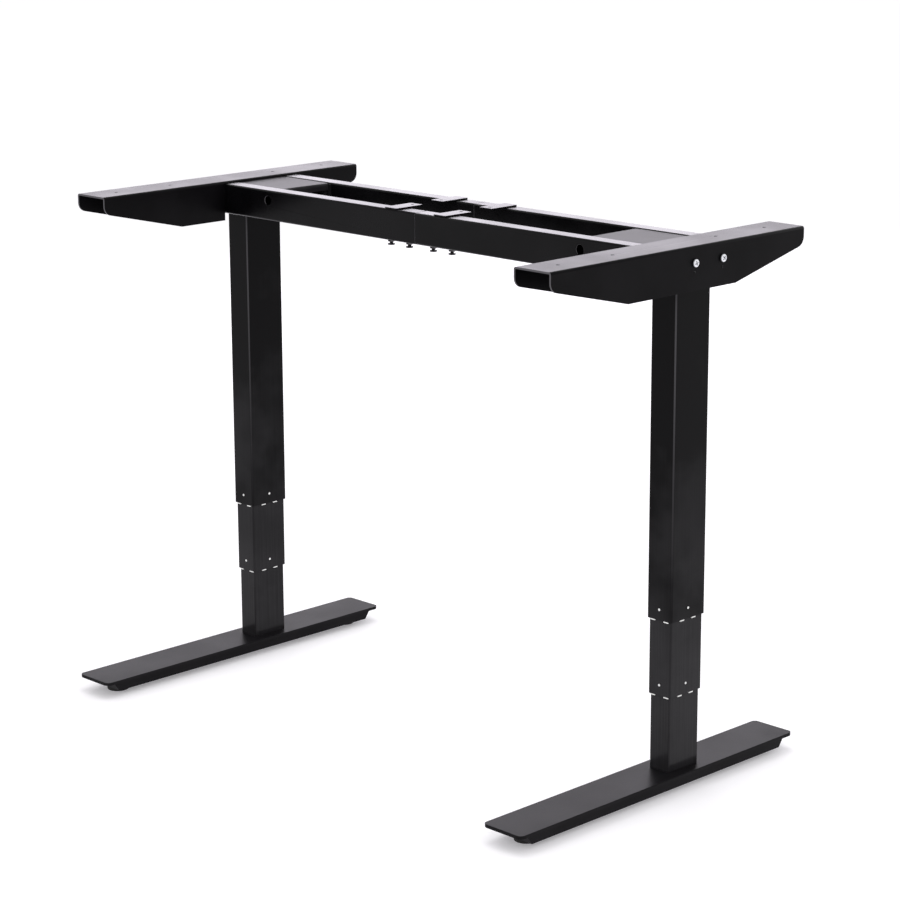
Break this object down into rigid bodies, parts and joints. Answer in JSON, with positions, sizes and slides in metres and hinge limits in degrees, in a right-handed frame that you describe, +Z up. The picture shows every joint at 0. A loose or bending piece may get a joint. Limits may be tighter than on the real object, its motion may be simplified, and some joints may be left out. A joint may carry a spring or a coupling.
{
  "type": "standing desk frame",
  "caption": "Height adjustable desk frame with telescoping rectangular legs on flat feet, twin sliding cross rails and flanged side brackets.",
  "frame": {"origin": "on the floor, midway between the feet along both their length and their spacing", "axes": "+X along the cross rails from the left leg to the right leg, +Y from the front where the user sits to the rear, +Z up"},
  "size_m": [1.109, 0.645, 0.8715],
  "materials": {
    "rail_paint": "satin black powder coat",
    "bracket_paint": "satin black powder coat",
    "cradle_paint": "satin black powder coat",
    "tab_paint": "satin black powder coat",
    "outer_paint": "satin black powder coat",
    "stage_paint": "satin black powder coat with fine drawn lines",
    "foot_paint": "satin black powder coat",
    "cover_paint": "satin black powder coat",
    "bar_steel": "bare drawn steel",
    "spindle_steel": "turned steel",
    "zinc": "bright zinc plate",
    "black_screw": "black oxide",
    "motor_case": "gloss black enamel",
    "cast_alloy": "die cast, matte",
    "bronze": "machined bronze",
    "nut_plastic": "moulded acetal",
    "glide_plastic": "moulded acetal",
    "pad_rubber": "moulded rubber over a steel stud"
  },
  "bodies": {
    "connecting_bars": {"front_connecting_bar": "bar_steel", "rear_connecting_bar": "bar_steel"},
    "left_half": {"left_front_rail": "rail_paint", "left_rear_rail": "rail_paint", "left_side_bracket": "bracket_paint", "left_leg_cradle": "cradle_paint", "left_front_tab": "tab_paint", "left_rear_tab": "tab_paint", "left_clamp_screws": "black_screw", "left_bracket_bolts": "zinc", "left_side_screws": "zinc", "left_motor_cover": "cover_paint", "left_motor": "motor_case", "left_gearbox_housing": "cast_alloy", "left_gearbox_lid": "cast_alloy", "left_gearbox_screws": "zinc", "left_outer_tube": "outer_paint", "left_outer_glides": "glide_plastic"},
    "left_mid_stage": {"left_middle_tube": "stage_paint", "left_middle_glides": "glide_plastic", "left_upper_nut": "nut_plastic"},
    "left_foot_stage": {"left_inner_tube": "stage_paint", "left_lower_nut": "nut_plastic", "left_foot_plate": "bar_steel", "left_foot": "foot_paint", "left_foot_screws": "zinc"},
    "left_upper_screw": {"left_upper_spindle": "spindle_steel", "left_worm_wheel": "bronze"},
    "left_lower_screw": {"left_lower_spindle": "spindle_steel"},
    "left_front_glide": {"left_front_glide": "pad_rubber"},
    "left_rear_glide": {"left_rear_glide": "pad_rubber"},
    "right_half": {"right_front_rail": "rail_paint", "right_rear_rail": "rail_paint", "right_side_bracket": "bracket_paint", "right_leg_cradle": "cradle_paint", "right_front_tab": "tab_paint", "right_rear_tab": "tab_paint", "right_clamp_screws": "black_screw", "right_bracket_bolts": "zinc", "right_side_screws": "zinc", "right_motor_cover": "cover_paint", "right_motor": "motor_case", "right_gearbox_housing": "cast_alloy", "right_gearbox_lid": "cast_alloy", "right_gearbox_screws": "zinc", "right_outer_tube": "outer_paint", "right_outer_glides": "glide_plastic"},
    "right_mid_stage": {"right_middle_tube": "stage_paint", "right_middle_glides": "glide_plastic", "right_upper_nut": "nut_plastic"},
    "right_foot_stage": {"right_inner_tube": "stage_paint", "right_lower_nut": "nut_plastic", "right_foot_plate": "bar_steel", "right_foot": "foot_paint", "right_foot_screws": "zinc"},
    "right_upper_screw": {"right_upper_spindle": "spindle_steel", "right_worm_wheel": "bronze"},
    "right_lower_screw": {"right_lower_spindle": "spindle_steel"},
    "right_front_glide": {"right_front_glide": "pad_rubber"},
    "right_rear_glide": {"right_rear_glide": "pad_rubber"}
  },
  "joints": [
    {"name": "right_lower_lift", "type": "slide", "parent": "right_foot_stage", "child": "right_mid_stage", "axis": [0, 0, 1], "range_m": [-0.116, 0.204]},
    {"name": "right_upper_lift", "type": "slide", "parent": "right_mid_stage", "child": "right_half", "axis": [0, 0, 1], "range_m": [-0.116, 0.204]},
    {"name": "right_width", "type": "slide", "parent": "right_half", "child": "connecting_bars", "axis": [-1, 0, 0], "range_m": [0, 0.25]},
    {"name": "left_width", "type": "slide", "parent": "connecting_bars", "child": "left_half", "axis": [-1, 0, 0], "range_m": [0, 0.25]},
    {"name": "left_upper_lift", "type": "slide", "parent": "left_half", "child": "left_mid_stage", "axis": [0, 0, -1], "range_m": [-0.116, 0.204]},
    {"name": "left_lower_lift", "type": "slide", "parent": "left_mid_stage", "child": "left_foot_stage", "axis": [0, 0, -1], "range_m": [-0.116, 0.204]},
    {"name": "right_upper_turn", "type": "hinge", "parent": "right_half", "child": "right_upper_screw", "pos_m": [0.497, 0.069, 0.5], "axis": [0, 0, 1], "range_deg": [-5221, 9181]},
    {"name": "right_lower_turn", "type": "hinge", "parent": "right_mid_stage", "child": "right_lower_screw", "pos_m": [0.497, 0.069, 0.5], "axis": [0, 0, 1], "range_deg": [-5221, 9181]},
    {"name": "right_front_level", "type": "slide", "parent": "right_foot_stage", "child": "right_front_glide", "axis": [0, 0, -1], "range_m": [-0.0025, 0.008]},
    {"name": "right_rear_level", "type": "slide", "parent": "right_foot_stage", "child": "right_rear_glide", "axis": [0, 0, -1], "range_m": [-0.0025, 0.008]},
    {"name": "left_upper_turn", "type": "hinge", "parent": "left_half", "child": "left_upper_screw", "pos_m": [-0.497, 0.069, 0.5], "axis": [0, 0, -1], "range_deg": [-5221, 9181]},
    {"name": "left_lower_turn", "type": "hinge", "parent": "left_mid_stage", "child": "left_lower_screw", "pos_m": [-0.497, 0.069, 0.5], "axis": [0, 0, -1], "range_deg": [-5221, 9181]},
    {"name": "left_front_level", "type": "slide", "parent": "left_foot_stage", "child": "left_front_glide", "axis": [0, 0, -1], "range_m": [-0.0025, 0.008]},
    {"name": "left_rear_level", "type": "slide", "parent": "left_foot_stage", "child": "left_rear_glide", "axis": [0, 0, -1], "range_m": [-0.0025, 0.008]}
  ],
  "couplings": [
    {"joint": "right_upper_lift", "follows": "right_lower_lift", "ratio": 1},
    {"joint": "left_upper_lift", "follows": "right_lower_lift", "ratio": 1},
    {"joint": "left_lower_lift", "follows": "right_lower_lift", "ratio": 1},
    {"joint": "right_upper_turn", "follows": "right_lower_lift", "rad_per_m": 785.4},
    {"joint": "right_lower_turn", "follows": "right_lower_lift", "rad_per_m": 785.4},
    {"joint": "left_upper_turn", "follows": "right_lower_lift", "rad_per_m": 785.4},
    {"joint": "left_lower_turn", "follows": "right_lower_lift", "rad_per_m": 785.4}
  ]
}
